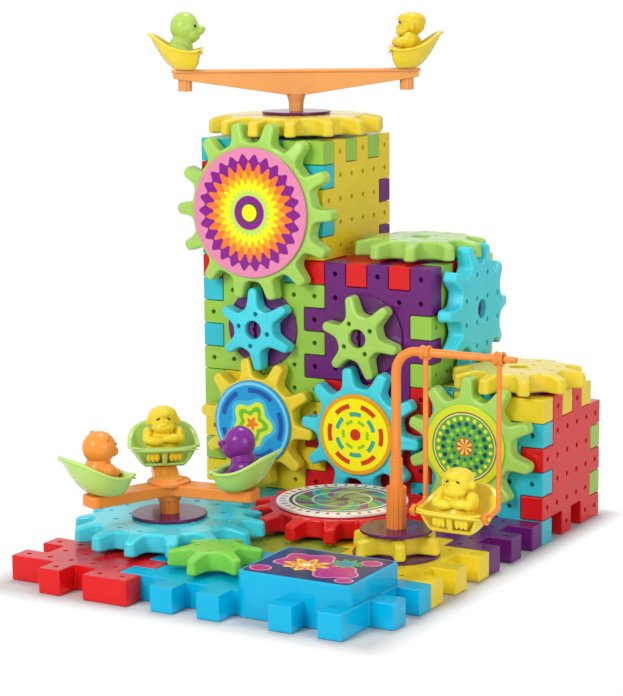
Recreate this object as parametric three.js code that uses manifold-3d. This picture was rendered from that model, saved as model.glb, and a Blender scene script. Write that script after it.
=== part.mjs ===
import * as THREE from "three";
import { mergeVertices } from "three/addons/utils/BufferGeometryUtils.js";
import Module from "manifold-3d";

const wasm = await Module();
wasm.setup();

// Driving dimensions, in millimetres: X runs right along the front edge, Y back, Z up.
// Every plate, axle and tower stands on one grid of cubic cells.
const cell = 12.8;
const seam = 0.15;
const runningGap = 0.3;
const overrun = 1;

// Gear wheels: the pitch radius is teeth times cell over four, so that centres fall on the grid.
const wheel = {
  lift: 1.8,
  thickness: 9.6,
  tipHeight: 3.8,
  rootDepth: 5.9,
  rootWidth: 8.4,
  shoulderWidth: 5,
  crownWidth: 2.8,
  shoulderDrop: 1.7,
  boreRadius: 5,
};

// Axle that clips into a plate and carries one wheel.
const axle = {
  flangeRadius: 21.5,
  flangeThickness: 1.2,
  recess: 3,
  pegRadius: 1.6,
  slotWidth: 1,
  slotDepth: 2.5,
};

// Round covers on the faces of five wheels, and the disc that carries a topper.
const coverThickness = 1.5;
const coverRadii = { upper: 35, left: 23.7, centre: 21.8, right: 22, pinwheel: 34 };
const clipDisc = { radius: 19, thickness: 1.5 };

// Motor and battery housing.
const housing = {
  boxLow: [66.56, 11.52],
  boxSize: [59.6, 48.6, 9.6],
  cornerRadius: 3,
  doorMargin: 5,
  doorGroove: 0.6,
  doorDepth: 0.8,
  switchFromSide: 8,
  switchSlot: [12, 4.4, 2],
  knob: [6, 3.8, 3.4],
};

// Boat seat, measured from the middle of its flat bottom, and the figure in it.
const boat = {
  frontReach: 10,
  backReach: 17.5,
  rimHalfWidth: 17,
  bottomReach: 6.5,
  bottomHalfWidth: 10,
  frontHeight: 12.5,
  backHeight: 23,
  wall: 1.3,
  lip: 1.6,
  lipThickness: 1.3,
};
const figure = {
  headRadius: 9.4,
  headHeight: 24.6,
  bodyRadius: 6.3,
  bodySet: 3.5,
  shoulderHeight: 17,
  earRadius: 3,
  beakLength: 5,
  armRadius: 2.2,
  armSpan: 12,
};

// Carousel on the left front wheel.
const carousel = {
  postRadius: 5.3,
  armBottom: 23,
  armThickness: 5.8,
  armWidth: 13,
  armReach: 48,
  seatReach: 41,
  hubRadius: 11,
  hubTop: 33.7,
  hubEdge: 2.6,
};

// Seesaw on the upper left deck wheel.
const seesaw = {
  heading: 30,
  halfLength: 68.5,
  top: 36.1,
  middleDepth: 13.8,
  endDepth: 4.7,
  flangeWidth: 13,
  flangeThickness: 1.4,
  webWidth: 9,
  neckTop: 6.5,
  neckBottom: 5,
  seatFromEnd: 6,
  pegFromEnd: 7.5,
  pegRadius: 3.85,
  pegBottom: 24.3,
  pegBore: 2.4,
};

// Swing on the right front wheel: a bent post, two hanger rods and a seat.
const swing = {
  sleeveRadius: 5,
  sleeveTop: 33.8,
  collarRadius: 3,
  collarTop: 48.3,
  rodRadius: 2.4,
  armHeight: 101.1,
  armLength: 63.4,
  bendRadius: 11,
  middle: 35.2,
  ringWidth: 7,
  ringWall: 2,
  hangerRadius: 1.4,
  hookForward: 12.8,
  bendHeight: 30.1,
  hookHeight: 28.1,
  eyeWall: 1.5,
  pinRadius: 1.2,
  pinSet: 8,
  pinBelowRim: 1.8,
};

const colours = {
  red: 0xe42024,
  brightBlue: 0x00aff0,
  teal: 0x46becd,
  lightGreen: 0xa5dc78,
  leafGreen: 0x6ec846,
  yellow: 0xf0dc3c,
  amber: 0xdeb92d,
  purple: 0x702a8c,
  orange: 0xf58c32,
  pink: 0xf59ac8,
  olive: 0x8c9a32,
  black: 0x202024,
};

// Turn a closed surface into a solid, and back.
const weldDistance = 1e-4;

function solid(geometry) {
  const bare = geometry.clone();
  bare.deleteAttribute("normal");
  bare.deleteAttribute("uv");
  const merged = mergeVertices(bare, weldDistance);
  return new wasm.Manifold(
    new wasm.Mesh({
      numProp: 3,
      vertProperties: new Float32Array(merged.attributes.position.array),
      triVerts: new Uint32Array(merged.index.array),
    }),
  );
}

function geometryOf(body) {
  const mesh = body.getMesh();
  const geometry = new THREE.BufferGeometry();
  geometry.setAttribute("position", new THREE.BufferAttribute(mesh.vertProperties, 3));
  geometry.setIndex(new THREE.BufferAttribute(mesh.triVerts, 1));
  const faceted = geometry.toNonIndexed();
  faceted.computeVertexNormals();
  return faceted;
}

// Simple solids, each standing on its own z = 0 unless said otherwise.
function extruded(shape, height, curveSegments = 6) {
  return new THREE.ExtrudeGeometry(shape, { depth: height, bevelEnabled: false, curveSegments });
}

function rod(radius, height, sides = 12) {
  return new THREE.CylinderGeometry(radius, radius, height, sides)
    .rotateX(Math.PI / 2)
    .translate(0, 0, height / 2);
}

function box(width, depth, height) {
  return new THREE.BoxGeometry(width, depth, height).translate(0, 0, height / 2);
}

// Revolve a closed profile of [radius, height] pairs about Z.
function revolved(profile, sides = 16) {
  const points = profile.map(([radius, height]) => new THREE.Vector2(radius, height));
  return new THREE.LatheGeometry(points, sides).rotateX(Math.PI / 2);
}

// A pipe with an open bore, centred on the origin with its axis along X.
function pipe(boreRadius, wall, width, sides = 10) {
  const outer = boreRadius + wall;
  return revolved([
    [boreRadius, -width / 2],
    [outer, -width / 2],
    [outer, width / 2],
    [boreRadius, width / 2],
    [boreRadius, -width / 2],
  ], sides).rotateY(Math.PI / 2);
}

function circlePath(x, y, radius, sides) {
  const path = new THREE.Path();
  for (let i = 0; i < sides; i++) {
    const angle = (i / sides) * Math.PI * 2;
    const point = [x + radius * Math.cos(angle), y + radius * Math.sin(angle)];
    i ? path.lineTo(...point) : path.moveTo(...point);
  }
  path.closePath();
  return path;
}

function roundedRectangle(width, depth, radius) {
  const shape = new THREE.Shape();
  const [x, y] = [width / 2 - radius, depth / 2 - radius];
  shape.absarc(x, y, radius, 0, Math.PI / 2);
  shape.absarc(-x, y, radius, Math.PI / 2, Math.PI);
  shape.absarc(-x, -y, radius, Math.PI, 1.5 * Math.PI);
  shape.absarc(x, -y, radius, 1.5 * Math.PI, 2 * Math.PI);
  return shape;
}

// Join rings of points into one closed skin, with a fan over the first and the last ring.
function skin(rings) {
  const count = rings[0].length;
  const positions = rings.flat().flatMap((p) => [p.x, p.y, p.z]);
  const index = [];
  for (let r = 0; r + 1 < rings.length; r++) {
    for (let i = 0; i < count; i++) {
      const [a, b] = [r * count + i, r * count + ((i + 1) % count)];
      index.push(a, b, b + count, a, b + count, a + count);
    }
  }
  const last = (rings.length - 1) * count;
  for (let i = 1; i + 1 < count; i++) {
    index.push(0, i + 1, i);
    index.push(last, last + i, last + i + 1);
  }
  const geometry = new THREE.BufferGeometry();
  geometry.setAttribute("position", new THREE.Float32BufferAttribute(positions, 3));
  geometry.setIndex(index);
  return geometry;
}

// A round rod along straight legs that lie in one plane, each corner bent to a radius.
function bentRod(corners, bendRadius, radius, sides = 8, bendSteps = 4) {
  const path = [corners[0]];
  for (let i = 1; i + 1 < corners.length; i++) {
    const back = corners[i - 1].clone().sub(corners[i]).normalize();
    const ahead = corners[i + 1].clone().sub(corners[i]).normalize();
    const half = back.angleTo(ahead) / 2;
    const reach = bendRadius / Math.tan(half);
    const middle = back.clone().add(ahead).normalize().multiplyScalar(bendRadius / Math.sin(half));
    const centre = corners[i].clone().add(middle);
    const from = corners[i].clone().addScaledVector(back, reach).sub(centre);
    const to = corners[i].clone().addScaledVector(ahead, reach).sub(centre);
    const normal = from.clone().cross(to).normalize();
    const sweep = from.angleTo(to);
    for (let s = 0; s <= bendSteps; s++) {
      path.push(from.clone().applyAxisAngle(normal, (s / bendSteps) * sweep).add(centre));
    }
  }
  path.push(corners.at(-1));
  const legs = path.slice(1).map((p, i) => p.clone().sub(path[i]).normalize());
  const side = legs[0].clone().cross(legs.at(-1)).normalize();
  return skin(path.map((point, i) => {
    const before = legs[Math.max(i - 1, 0)];
    const after = legs[Math.min(i, legs.length - 1)];
    const mitre = before.clone().add(after).normalize();
    const up = mitre.clone().cross(side).multiplyScalar(radius / mitre.dot(before));
    return Array.from({ length: sides }, (_, k) => {
      const angle = ((k + 0.5) / sides) * Math.PI * 2;
      return point.clone()
        .addScaledVector(side, radius * Math.cos(angle))
        .addScaledVector(up, Math.sin(angle));
    });
  }));
}

// Plates: a square body with castle teeth on all four edges, alike after a quarter turn.
// A block of several plates' length repeats the teeth every pitchCount cells.
const pitchCount = 5;
const edgeCount = 1;
const teethAt = [2, 4];
const cornerNames = ["lowerRight", "upperRight", "upperLeft", "lowerLeft"];

function castleOutline(platesWide, platesHigh, filledCorner) {
  const [wide, high] = [platesWide, platesHigh].map((count) => count * pitchCount + edgeCount);
  const sides = [
    { start: [0, 0], along: [1, 0], inward: [0, 1], plates: platesWide },
    { start: [wide, 0], along: [0, 1], inward: [-1, 0], plates: platesHigh },
    { start: [wide, high], along: [-1, 0], inward: [0, -1], plates: platesWide },
    { start: [0, high], along: [0, -1], inward: [1, 0], plates: platesHigh },
  ];
  const points = [];
  sides.forEach(({ start, along, inward, plates }, side) => {
    const add = (s, w) => points.push(new THREE.Vector2(
      start[0] * cell + along[0] * s + inward[0] * w,
      start[1] * cell + along[1] * s + inward[1] * w,
    ));
    const [foot, tip, length] = [cell + seam, seam, plates * pitchCount + edgeCount];
    const filled = cornerNames[side] === filledCorner;
    add(foot, foot);
    for (let k = 0; k < plates * teethAt.length; k++) {
      const at = teethAt[k % 2] + pitchCount * Math.floor(k / 2);
      const last = at + teethAt[0] === length;
      add(at * cell + seam, foot);
      add(at * cell + seam, tip);
      if (!last || !filled) add((at + 1) * cell - seam, tip);
      if (!last) add((at + 1) * cell - seam, foot);
    }
    if (filled) {
      add(length * cell - seam, tip);
      add(length * cell - seam, cell - seam);
      add((length - 1) * cell - seam, cell - seam);
    }
  });
  return new THREE.Shape(points);
}

// The axle in its plate's frame: a flange, a slotted boss and the two pegs that clip into the plate.
function axleSolid(column, row) {
  const [x, y] = [column * cell, row * cell];
  const face = cell - seam;
  const bossTop = cell + wheel.lift + wheel.thickness - axle.recess;
  const flangeBottom = face + runningGap;
  const slot = box(2 * wheel.boreRadius, axle.slotWidth, axle.slotDepth + overrun)
    .translate(x, y, bossTop - axle.slotDepth);
  let body = solid(rod(axle.flangeRadius, axle.flangeThickness, 16).translate(x, y, flangeBottom))
    .add(solid(rod(wheel.boreRadius - runningGap, bossTop - flangeBottom, 8)
      .translate(x, y, flangeBottom)))
    .subtract(solid(slot));
  for (const side of [-1, 1]) {
    const peg = rod(axle.pegRadius, runningGap + overrun + axle.flangeThickness / 2, 4)
      .translate(x + (side * cell) / 2, y + cell / 2, face - overrun);
    body = body.add(solid(peg));
  }
  return body;
}

function plateGeometry(corner, axleAt) {
  const shape = castleOutline(1, 1, corner);
  let body = solid(extruded(shape, cell - 2 * seam).translate(0, 0, seam));
  if (axleAt) body = body.add(axleSolid(...axleAt));
  return geometryOf(body);
}

// Wheels: long round-tipped fingers on a flat body, the first finger along local X.
function wheelGeometry(teeth) {
  const pitchRadius = (teeth * cell) / 4;
  const tip = pitchRadius + wheel.tipHeight;
  const flank = [
    [pitchRadius - wheel.rootDepth, wheel.rootWidth],
    [tip - wheel.shoulderDrop, wheel.shoulderWidth],
    [tip, wheel.crownWidth],
  ];
  const points = [];
  for (let tooth = 0; tooth < teeth; tooth++) {
    const turn = (tooth / teeth) * Math.PI * 2;
    const add = (radius, offset) => points.push(
      new THREE.Vector2(radius, offset).rotateAround(new THREE.Vector2(), turn),
    );
    flank.forEach(([radius, width]) => add(radius, -width / 2));
    flank.toReversed().forEach(([radius, width]) => add(radius, width / 2));
  }
  const shape = new THREE.Shape(points);
  shape.holes.push(circlePath(0, 0, wheel.boreRadius, 12));
  return extruded(shape, wheel.thickness);
}

const coverBottom = wheel.lift + wheel.thickness + runningGap;

function coverGeometry(radius) {
  return rod(radius, coverThickness, 24).translate(0, 0, coverBottom);
}

// The clip disc that a topper stands on, with the stub that plugs into the wheel's bore.
const discTop = coverBottom + clipDisc.thickness;

function clipDiscSolid() {
  const stubBottom = wheel.lift + wheel.thickness - axle.recess + runningGap;
  const profile = [
    [0, stubBottom],
    [wheel.boreRadius - runningGap, stubBottom],
    [wheel.boreRadius - runningGap, coverBottom],
    [clipDisc.radius, coverBottom],
    [clipDisc.radius, discTop],
    [0, discTop],
  ];
  return solid(revolved(profile, 16));
}

// Boat seat: straight front, high rounded back; forward is local X.
function seatRing(front, back, halfWidth, frontHeight, backHeight) {
  const count = 12;
  const frontShares = [0.35, 0.45];
  const backShares = [0.8, 0.75];
  const riseShare = 1.4;
  return Array.from({ length: count }, (_, i) => {
    const angle = ((i + 0.5) / count) * Math.PI * 2;
    const [c, s] = [Math.cos(angle), Math.sin(angle)];
    const [lengthShare, widthShare] = c > 0 ? frontShares : backShares;
    const x = (c > 0 ? front : back) * Math.sign(c) * Math.abs(c) ** lengthShare;
    const y = halfWidth * Math.sign(s) * Math.abs(s) ** widthShare;
    const rise = c > 0 ? 0 : Math.abs(c) ** riseShare;
    return new THREE.Vector3(x, y, frontHeight + (backHeight - frontHeight) * rise);
  });
}

function seatSolid() {
  const { frontReach, backReach, rimHalfWidth, bottomReach, bottomHalfWidth } = boat;
  const { frontHeight, backHeight, wall, lip, lipThickness } = boat;
  const bellyShare = 0.55;
  const bulgeShare = 0.72;
  const between = (low, high, share) => low + (high - low) * share;
  const ring = (share, heightShare, inset, lift) => seatRing(
    between(bottomReach, frontReach, share) - inset,
    between(bottomReach, backReach, share) - inset,
    between(bottomHalfWidth, rimHalfWidth, share) - inset,
    between(0, frontHeight, heightShare) + lift,
    between(0, backHeight, heightShare) + lift,
  );
  return solid(skin([
    ring(0, 0, 0, 0),
    ring(bulgeShare, bellyShare, 0, 0),
    ring(1, 1, 0, -lipThickness),
    ring(1, 1, -lip, 0),
    ring(1, 1, wall, 0),
    ring(bulgeShare, bellyShare, wall, 0),
    ring(0, 0, wall, wall),
  ]));
}

// Seated animal: round head, pear body, folded arms, and ears or a beak.
function figureSolid(kind) {
  const { headRadius, headHeight, bodyRadius, shoulderHeight } = figure;
  const floor = boat.wall - runningGap;
  const body = revolved([
    [0, floor],
    [bodyRadius, floor],
    [bodyRadius, shoulderHeight / 2],
    [bodyRadius / 2, shoulderHeight],
    [0, shoulderHeight],
  ], 7);
  const head = new THREE.SphereGeometry(headRadius, 8, 6)
    .rotateX(Math.PI / 2)
    .translate(0, 0, headHeight);
  const arms = new THREE.SphereGeometry(figure.armRadius, 6, 4)
    .scale(1, figure.armSpan / (2 * figure.armRadius), 1)
    .translate(bodyRadius, 0, shoulderHeight / 2 + figure.armRadius);
  let whole = solid(body).add(solid(head)).add(solid(arms));
  for (const side of [-1, 1]) {
    if (kind !== "bird") {
      const ear = new THREE.SphereGeometry(figure.earRadius, 5, 4)
        .translate(0, side * headRadius, headHeight + figure.earRadius / 2);
      whole = whole.add(solid(ear));
    }
  }
  if (kind === "bird") {
    const beak = new THREE.ConeGeometry(figure.earRadius, figure.beakLength + figure.earRadius, 6)
      .rotateZ(-Math.PI / 2)
      .translate(headRadius + figure.beakLength / 2 - overrun, 0, headHeight - overrun);
    whole = whole.add(solid(beak));
  }
  return whole.translate([-figure.bodySet, 0, 0]);
}

function occupiedSeat(kind) {
  return geometryOf(seatSolid().add(figureSolid(kind)));
}

// Swing seat: the same boat with a pin on each side for the hanger's eye.
function swingSeatGeometry() {
  const length = 2 * hangerOffset + pinWidth;
  const pins = new THREE.CylinderGeometry(swing.pinRadius, swing.pinRadius, length, 8)
    .translate(swing.pinSet, 0, boat.frontHeight - swing.pinBelowRim);
  const inside = box(2 * swing.pinSet, 2 * boat.rimHalfWidth - 2 * boat.wall, boat.backHeight)
    .translate(swing.pinSet / 2, 0, boat.wall);
  const stubs = solid(pins).subtract(solid(inside));
  return geometryOf(stubs.decompose().reduce((sum, stub) => sum.add(stub), seatSolid())
    .add(figureSolid("monkey")));
}

const hangerOffset = boat.rimHalfWidth + boat.lip + runningGap + swing.hangerRadius;
const pinWidth = 2 * swing.hangerRadius + overrun;

// Hanger rod: a ring on the swing's arm, a straight drop, a bend forward and an eye.
function hangerGeometry() {
  const ring = solid(pipe(swing.rodRadius + runningGap, swing.ringWall, swing.ringWidth));
  const bore = solid(rod(swing.rodRadius + runningGap, 2 * swing.ringWidth, 10)
    .translate(0, 0, -swing.ringWidth)
    .rotateY(Math.PI / 2));
  const top = new THREE.Vector3(0, 0, -swing.rodRadius - runningGap);
  const bend = new THREE.Vector3(0, 0, swing.bendHeight - swing.armHeight);
  const hook = new THREE.Vector3(0, -swing.hookForward, swing.hookHeight - swing.armHeight);
  const legs = [top, bend, hook];
  const rodBody = solid(bentRod(legs, 2 * swing.hangerRadius, swing.hangerRadius, 6, 3));
  const eye = solid(pipe(swing.pinRadius + runningGap, swing.eyeWall, 2 * swing.hangerRadius, 8)
    .translate(hook.x, hook.y, hook.z));
  const eyeBore = solid(rod(swing.pinRadius + runningGap, swing.ringWidth, 8)
    .translate(0, 0, -swing.ringWidth / 2)
    .rotateY(Math.PI / 2)
    .translate(hook.x, hook.y, hook.z));
  return geometryOf(rodBody.subtract(bore).subtract(eyeBore).add(ring).add(eye));
}

// Swing post: clip disc, sleeve and collar, then one rod bent over into the arm.
function swingPostGeometry() {
  const sleeve = revolved([
    [0, discTop - overrun],
    [swing.sleeveRadius, discTop - overrun],
    [swing.sleeveRadius, swing.sleeveTop],
    [swing.collarRadius, swing.sleeveTop],
    [swing.collarRadius, swing.collarTop],
    [0, swing.collarTop],
  ], 12);
  const corners = [
    new THREE.Vector3(0, 0, swing.sleeveTop),
    new THREE.Vector3(0, 0, swing.armHeight),
    new THREE.Vector3(swing.armLength, 0, swing.armHeight),
  ];
  const arm = solid(bentRod(corners, swing.bendRadius, swing.rodRadius, 8, 5));
  return geometryOf(clipDiscSolid().add(solid(sleeve)).add(arm));
}

// Carousel: clip disc, post, three flat arms and a domed hub.
function carouselGeometry() {
  const { postRadius, armBottom, armThickness, armWidth, armReach } = carousel;
  const post = rod(postRadius, armBottom - discTop + 2 * overrun, 12).translate(0, 0, discTop - overrun);
  const armTop = armBottom + armThickness;
  const hub = revolved([
    [0, armBottom + overrun],
    [carousel.hubRadius, armBottom + overrun],
    [carousel.hubRadius, carousel.hubTop - carousel.hubEdge],
    [carousel.hubRadius - carousel.hubEdge, carousel.hubTop],
    [0, carousel.hubTop],
  ], 14);
  let body = clipDiscSolid().add(solid(post)).add(solid(hub));
  for (const turn of carouselTurns) {
    const shape = roundedRectangle(armReach + armWidth / 2, armWidth, armWidth / 4);
    const arm = extruded(shape, armTop - armBottom, 1)
      .translate(armReach / 2 - armWidth / 4, 0, armBottom)
      .rotateZ(THREE.MathUtils.degToRad(turn));
    body = body.add(solid(arm));
  }
  return geometryOf(body);
}

const carouselTurns = [7, 127, 247];

// Seesaw beam: a thin top flange over a web that deepens to the middle, and a funnel neck.
function seesawGeometry() {
  const { halfLength, top, middleDepth, endDepth, neckTop, flangeThickness } = seesaw;
  const web = new THREE.Shape([
    new THREE.Vector2(-halfLength + overrun, top - endDepth),
    new THREE.Vector2(-neckTop, top - middleDepth),
    new THREE.Vector2(neckTop, top - middleDepth),
    new THREE.Vector2(halfLength - overrun, top - endDepth),
    new THREE.Vector2(halfLength - overrun, top - flangeThickness / 2),
    new THREE.Vector2(-halfLength + overrun, top - flangeThickness / 2),
  ]);
  const webBody = extruded(web, seesaw.webWidth).translate(0, 0, -seesaw.webWidth / 2)
    .rotateX(Math.PI / 2);
  const flange = extruded(
    roundedRectangle(2 * halfLength, seesaw.flangeWidth, seesaw.flangeWidth / 4), flangeThickness, 1,
  ).translate(0, 0, top - flangeThickness);
  const neck = revolved([
    [0, discTop - overrun],
    [seesaw.neckBottom, discTop - overrun],
    [seesaw.neckTop, top - middleDepth],
    [seesaw.neckTop, top - middleDepth / 2],
    [0, top - middleDepth / 2],
  ]);
  let body = clipDiscSolid().add(solid(neck)).add(solid(webBody)).add(solid(flange));
  for (const side of [-1, 1]) {
    const at = side * (halfLength - seesaw.pegFromEnd);
    const peg = rod(seesaw.pegRadius, top - endDepth / 2 - seesaw.pegBottom, 12)
      .translate(at, 0, seesaw.pegBottom);
    const bore = rod(seesaw.pegBore, top - endDepth - seesaw.pegBottom, 8)
      .translate(at, 0, seesaw.pegBottom - overrun);
    body = body.add(solid(peg)).subtract(solid(bore));
  }
  return geometryOf(body);
}

// Housing: a castle slab two plates long with the battery box on it, in its own grid frame.
const boxTop = cell + housing.boxSize[2];
const [boxWidth, boxDepth] = housing.boxSize;
const boxMiddle = [
  housing.boxLow[0] + boxWidth / 2,
  housing.boxLow[1] + boxDepth / 2,
];
const switchX = boxMiddle[0] - boxWidth / 2 + housing.switchFromSide + housing.switchSlot[0] / 2;
const switchY = boxMiddle[1] + boxDepth / 2;
const switchZ = (cell + boxTop) / 2;

function housingGeometry() {
  const slab = extruded(castleOutline(2, 1), cell - 2 * seam).translate(0, 0, seam);
  const lid = extruded(roundedRectangle(boxWidth, boxDepth, housing.cornerRadius), boxTop - cell / 2, 3)
    .translate(...boxMiddle, cell / 2);
  const [slotLength, slotHeight, slotDepth] = housing.switchSlot;
  const slot = box(slotLength, slotDepth + overrun, slotHeight)
    .translate(switchX, switchY - slotDepth / 2 + overrun / 2, switchZ - slotHeight / 2);
  const doorSize = [boxWidth - 2 * housing.doorMargin, boxDepth - 2 * housing.doorMargin];
  const grooveHeight = housing.doorDepth + overrun;
  const groove = solid(box(...doorSize, grooveHeight)).subtract(solid(box(
    doorSize[0] - 2 * housing.doorGroove, doorSize[1] - 2 * housing.doorGroove, 3 * grooveHeight,
  ).translate(0, 0, -grooveHeight))).translate([...boxMiddle, seam - overrun]);
  return geometryOf(solid(slab).add(solid(lid)).subtract(solid(slot)).subtract(groove)
    .add(axleSolid(3, 3)));
}

function knobGeometry() {
  const [width, height, depth] = housing.knob;
  const back = housing.switchSlot[2] - runningGap;
  return box(width, depth, height)
    .translate(switchX, switchY - back + depth / 2, switchZ - height / 2);
}

// Frames in which a piece's own x and y lie in its outer face and z points outwards.
const [X, Y, Z] = [[1, 0, 0], [0, 1, 0], [0, 0, 1]].map((v) => new THREE.Vector3(...v));
const facings = {
  up: [X, Y, Z],
  front: [X, Z, Y.clone().negate()],
  right: [Y, Z, X],
  back: [X.clone().negate(), Z, Y],
  left: [Y.clone().negate(), Z, X.clone().negate()],
};

// The origin lies under the middle of the base, on the underside of the tooth there.
const originCell = [8.5, 10.5];
const toy = new THREE.Group();
toy.position.set(-originCell[0] * cell, -originCell[1] * cell, -seam);

// A group on the grid whose plate fills the cells from lowCell on.
function gridFrame(facing, lowCell) {
  const [u, v, w] = facings[facing];
  const frame = new THREE.Group();
  frame.quaternion.setFromRotationMatrix(new THREE.Matrix4().makeBasis(u, v, w));
  frame.position.fromArray(lowCell).multiplyScalar(cell);
  const reach = [pitchCount + edgeCount, pitchCount + edgeCount, edgeCount];
  [u, v, w].forEach((axis, i) => {
    if (axis.x + axis.y + axis.z < 0) frame.position.addScaledVector(axis, -reach[i] * cell);
  });
  toy.add(frame);
  return frame;
}

function piece(parent, name, colour, geometry, roughness = 0.3) {
  const material = new THREE.MeshStandardMaterial({ color: colours[colour], roughness, metalness: 0 });
  const mesh = new THREE.Mesh(geometry, material);
  mesh.name = name;
  parent.add(mesh);
  return mesh;
}

// Plates: name, colour, the way they face, lowest cell, filled corner, and any axle's grid point.
const plates = [
  ["base_plate_front_left", "red", "up", [0, 0, 0], "lowerRight"],
  ["base_plate_middle_left", "red", "up", [0, 5, 0], "lowerRight", [4, 1]],
  ["base_plate_back_left", "teal", "up", [0, 10, 0], "lowerRight"],
  ["base_plate_centre", "olive", "up", [5, 5, 0], "lowerRight"],
  ["base_plate_back_centre", "red", "up", [5, 10, 0], "lowerRight", [4, 1]],
  ["base_plate_right", "amber", "up", [10, 5, 0], "lowerRight", [3, 3]],
  ["base_plate_back_right", "purple", "up", [10, 10, 0], "lowerRight"],
  ["front_wall_lower_left", "amber", "front", [0, 15, 0], "lowerRight", [3, 4]],
  ["front_wall_lower_centre", "red", "front", [5, 15, 0], "upperRight", [3, 4]],
  ["front_wall_lower_right", "teal", "front", [10, 15, 0], "lowerRight", [3, 4]],
  ["front_wall_middle_left", "lightGreen", "front", [0, 15, 5], "lowerRight", [3, 3]],
  ["front_wall_middle_right", "purple", "front", [5, 15, 5], "upperRight", [3, 3]],
  ["front_wall_upper", "teal", "front", [0, 15, 10], "upperLeft", [3, 3]],
  ["right_wall_lower", "red", "right", [15, 15, 0], "lowerRight"],
  ["right_wall_middle", "lightGreen", "right", [10, 15, 5], "lowerRight", [3, 4]],
  ["right_wall_upper", "amber", "right", [5, 15, 10], "upperRight"],
  ["deck_right", "amber", "up", [10, 15, 5], "lowerRight", [4, 2]],
  ["deck_centre", "red", "up", [5, 15, 10], "lowerLeft", [4, 3]],
  ["deck_left", "lightGreen", "up", [0, 15, 15], "lowerRight", [3, 3]],
  ["left_wall_lower", "lightGreen", "left", [0, 15, 0], "upperRight"],
  ["left_wall_middle", "teal", "left", [0, 15, 5], "lowerLeft"],
  ["left_wall_upper", "red", "left", [0, 15, 10], "lowerRight"],
  ["back_wall_lower_left", "amber", "back", [0, 20, 0], "lowerRight"],
  ["back_wall_lower_centre", "teal", "back", [5, 20, 0], "lowerRight"],
  ["back_wall_lower_right", "lightGreen", "back", [10, 20, 0], "lowerRight"],
  ["back_wall_middle_left", "red", "back", [0, 20, 5], "lowerLeft"],
  ["back_wall_middle_right", "amber", "back", [5, 20, 5], "upperLeft"],
  ["back_wall_upper", "purple", "back", [0, 20, 10], "lowerRight"],
];

const carriers = {};
const axlePoints = { motor_housing: [3, 3] };
for (const [name, colour, facing, lowCell, corner, axleAt] of plates) {
  carriers[name] = gridFrame(facing, lowCell);
  axlePoints[name] = axleAt;
  piece(carriers[name], name, colour, plateGeometry(corner, axleAt));
}
carriers.motor_housing = gridFrame("up", [5, 0, 0]);
piece(carriers.motor_housing, "motor_housing", "brightBlue", housingGeometry());
piece(carriers.motor_housing, "power_switch", "black", knobGeometry(), 0.5);

// Wheels: name, colour, teeth, carrying plate, and the angle in degrees of one finger.
const wheels = [
  ["motor_gear", "leafGreen", 6, "motor_housing", 30],
  ["carousel_gear", "teal", 14, "base_plate_middle_left", -4],
  ["pinwheel_gear", "red", 14, "base_plate_back_centre", 8],
  ["swing_gear", "yellow", 6, "base_plate_right", 2],
  ["upper_gear", "lightGreen", 14, "front_wall_upper", 0],
  ["idler_gear_left", "teal", 6, "front_wall_middle_left", 34],
  ["lower_gear_left", "yellow", 10, "front_wall_lower_left", -7],
  ["lower_gear_centre", "teal", 10, "front_wall_lower_centre", 30.5],
  ["lower_gear_right", "lightGreen", 10, "front_wall_lower_right", 20],
  ["idler_gear_centre", "lightGreen", 6, "front_wall_middle_right", -14],
  ["seesaw_gear", "yellow", 14, "deck_left", 12.9],
  ["deck_gear_centre", "lightGreen", 10, "deck_centre", -1],
  ["deck_gear_right", "yellow", 10, "deck_right", 10.5],
  ["side_gear", "teal", 10, "right_wall_middle", 0],
];

// An upright frame on a wheel's axis, at the carrying plate's outer grid plane.
const spindles = {};
for (const [name, colour, teeth, carrier, fingerAngle] of wheels) {
  const [column, row] = axlePoints[carrier];
  const spindle = new THREE.Group();
  spindle.position.set(column * cell, row * cell, cell);
  carriers[carrier].add(spindle);
  spindles[name] = spindle;
  const mesh = piece(spindle, name, colour, wheelGeometry(teeth).translate(0, 0, wheel.lift));
  mesh.rotation.z = THREE.MathUtils.degToRad(fingerAngle);
}

piece(spindles.upper_gear, "cover_disc_upper", "pink", coverGeometry(coverRadii.upper));
piece(spindles.lower_gear_left, "cover_disc_left", "brightBlue", coverGeometry(coverRadii.left));
piece(spindles.lower_gear_centre, "cover_disc_centre", "yellow", coverGeometry(coverRadii.centre));
piece(spindles.lower_gear_right, "cover_disc_right", "leafGreen", coverGeometry(coverRadii.right));
piece(spindles.pinwheel_gear, "pinwheel_disc", "purple", coverGeometry(coverRadii.pinwheel));

// A group at a reach along a heading, turned so that its own x axis looks back to the middle.
function facingMiddle(parent, heading, reach, height) {
  const place = new THREE.Group();
  const angle = THREE.MathUtils.degToRad(heading);
  place.position.set(reach * Math.cos(angle), reach * Math.sin(angle), height);
  place.rotation.z = angle + Math.PI;
  parent.add(place);
  return place;
}

piece(spindles.carousel_gear, "carousel_arms", "orange", carouselGeometry());
const armTop = carousel.armBottom + carousel.armThickness + runningGap;
[["right", "bird"], ["back", "monkey"], ["left", "bear"]].forEach(([side, kind], i) => {
  const place = facingMiddle(spindles.carousel_gear, carouselTurns[i], carousel.seatReach, armTop);
  piece(place, "carousel_seat_" + side, "lightGreen", occupiedSeat(kind));
});

const beam = piece(spindles.seesaw_gear, "seesaw_beam", "orange", seesawGeometry());
beam.rotation.z = THREE.MathUtils.degToRad(seesaw.heading);
const seesawReach = seesaw.halfLength - seesaw.seatFromEnd;
[["right", 0, "monkey"], ["left", 180, "bird"]].forEach(([side, turn, kind]) => {
  const heading = seesaw.heading + turn;
  const place = facingMiddle(spindles.seesaw_gear, heading, seesawReach, seesaw.top + runningGap);
  piece(place, "seesaw_seat_" + side, "yellow", occupiedSeat(kind));
});

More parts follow.
